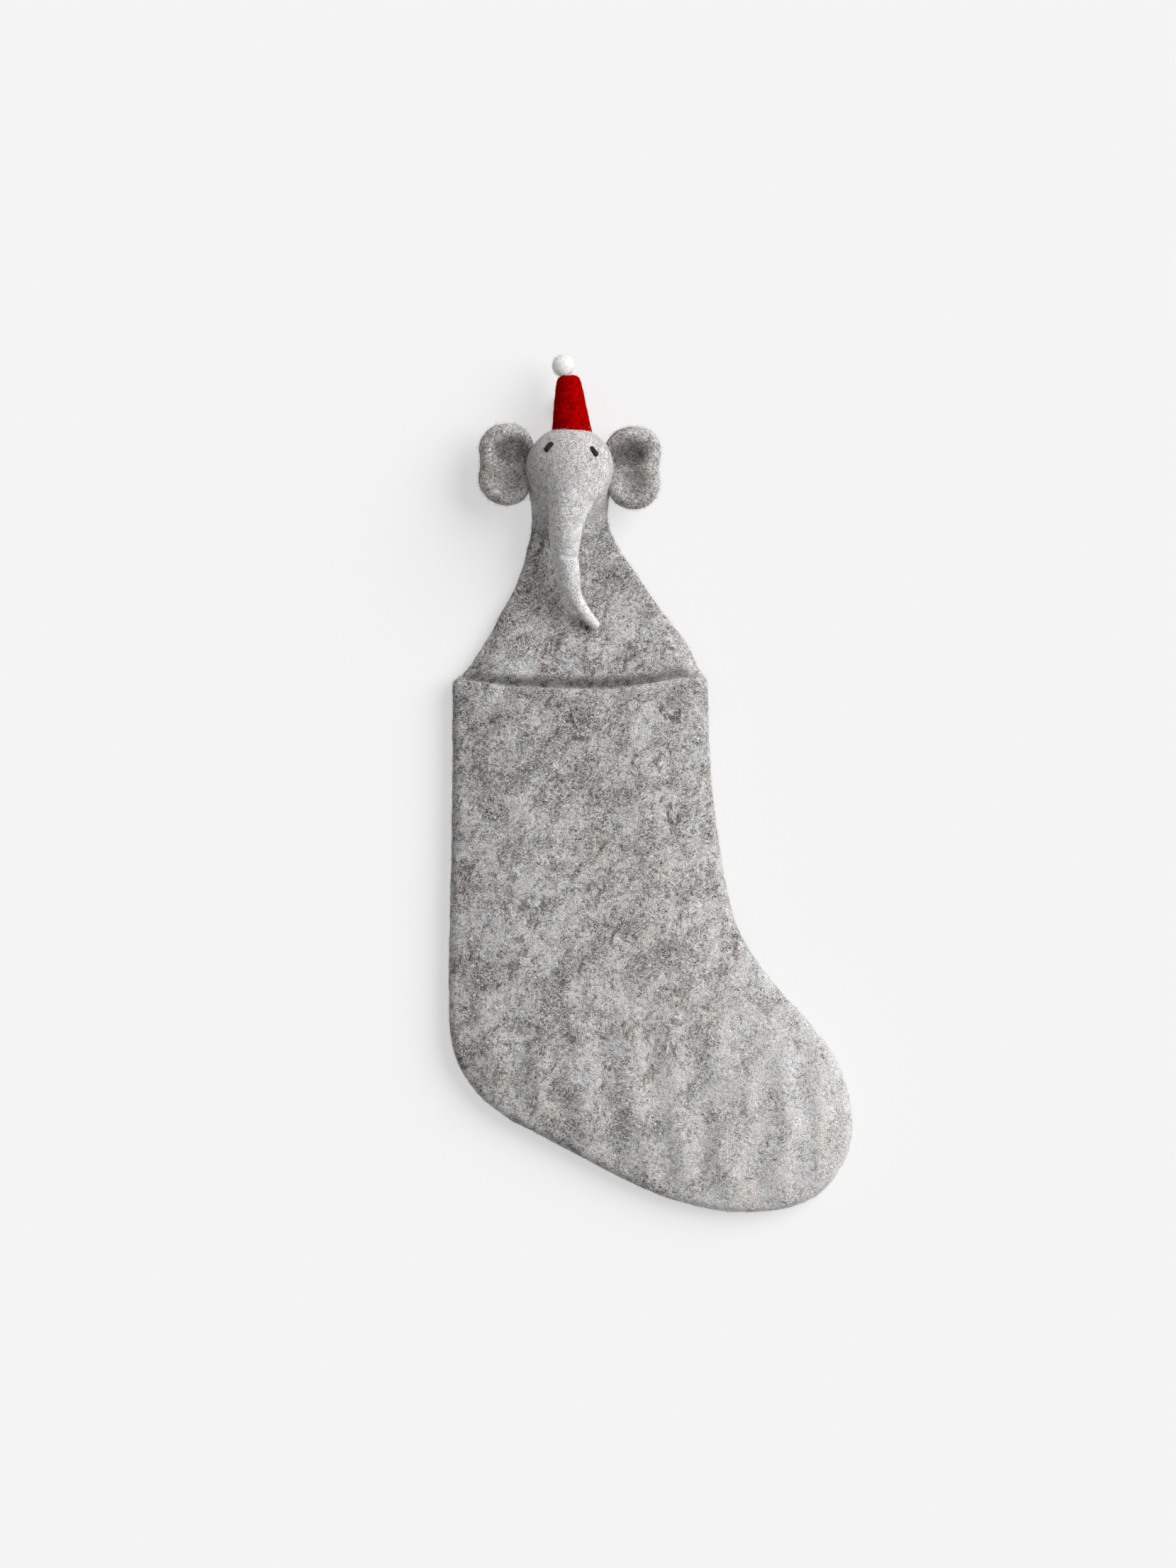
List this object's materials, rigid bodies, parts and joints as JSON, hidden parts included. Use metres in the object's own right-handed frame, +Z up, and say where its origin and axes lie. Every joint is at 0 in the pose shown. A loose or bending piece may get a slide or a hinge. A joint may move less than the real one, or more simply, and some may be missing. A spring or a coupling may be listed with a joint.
{
  "type": "felt elephant christmas stocking",
  "caption": "Grey wool felt Christmas stocking hung from a tapered flap, with a felted elephant head, free ears and trunk, and a red cone hat with a pompom.",
  "frame": {"origin": "centre of the hanging loop's eye, at the middle of the loop's thickness", "axes": "+Z up; +Y towards the wall, out of the back; +X to the right as seen from the front, the way the toe points"},
  "size_m": [0.2353, 0.0453, 0.5009],
  "materials": {
    "stocking_felt": "matte wet-felted wool, heathered grey",
    "elephant_felt": "matte needle-felted wool, light grey",
    "red_felt": "matte needle-felted wool",
    "white_wool": "matte loose wool",
    "black_felt": "matte needle-felted wool",
    "loop_felt": "matte wool felt",
    "thread": "matte sewing thread"
  },
  "bodies": {
    "loop": {"hanging_loop": "loop_felt"},
    "head": {"head_cover": "elephant_felt", "head_core": "elephant_felt", "left_eye": "black_felt", "right_eye": "black_felt", "neck_flap": "stocking_felt", "loop_stitches": "thread"},
    "stocking": {"back_panel": "stocking_felt", "front_panel": "stocking_felt"},
    "pocket_mouth": {"mouth_panel": "stocking_felt"},
    "left_ear": {"left_ear": "elephant_felt"},
    "right_ear": {"right_ear": "elephant_felt"},
    "trunk": {"trunk": "elephant_felt"},
    "trunk_tip": {"trunk_tip": "elephant_felt"},
    "hat": {"hat": "red_felt", "pompom": "white_wool"}
  },
  "joints": [
    {"name": "loop_swing", "type": "hinge", "parent": "loop", "child": "head", "pos_m": [0, 0, -0.03], "axis": [-1, 0, 0], "range_deg": [0, 15]},
    {"name": "flap_fold", "type": "hinge", "parent": "head", "child": "stocking", "pos_m": [0, -0.0033, -0.146], "axis": [-1, 0, 0], "range_deg": [0, 75]},
    {"name": "mouth_open", "type": "hinge", "parent": "stocking", "child": "pocket_mouth", "pos_m": [0, -0.0173, -0.25], "axis": [1, 0, 0], "range_deg": [0, 15], "stiffness_Nm_per_rad": 0.06},
    {"name": "left_ear_flap", "type": "hinge", "parent": "head", "child": "left_ear", "pos_m": [-0.0282, -0.0183, -0.034], "axis": [0, 0, 1], "range_deg": [-20, 60], "stiffness_Nm_per_rad": 0.01},
    {"name": "right_ear_flap", "type": "hinge", "parent": "head", "child": "right_ear", "pos_m": [0.0282, -0.0183, -0.036], "axis": [0, 0, -1], "range_deg": [-20, 60], "stiffness_Nm_per_rad": 0.01},
    {"name": "trunk_lift", "type": "hinge", "parent": "head", "child": "trunk", "pos_m": [-0.0018, -0.035, -0.064], "axis": [-1, 0, 0], "range_deg": [0, 45], "stiffness_Nm_per_rad": 0.03},
    {"name": "trunk_curl", "type": "hinge", "parent": "trunk", "child": "trunk_tip", "pos_m": [-0.002, -0.0265, -0.09], "axis": [-1, 0, 0], "range_deg": [0, 60], "stiffness_Nm_per_rad": 0.015},
    {"name": "hat_tilt", "type": "hinge", "parent": "head", "child": "hat", "pos_m": [0.001, -0.0203, -0.008], "axis": [0, 1, 0], "range_deg": [-15, 15], "stiffness_Nm_per_rad": 0.02}
  ]
}
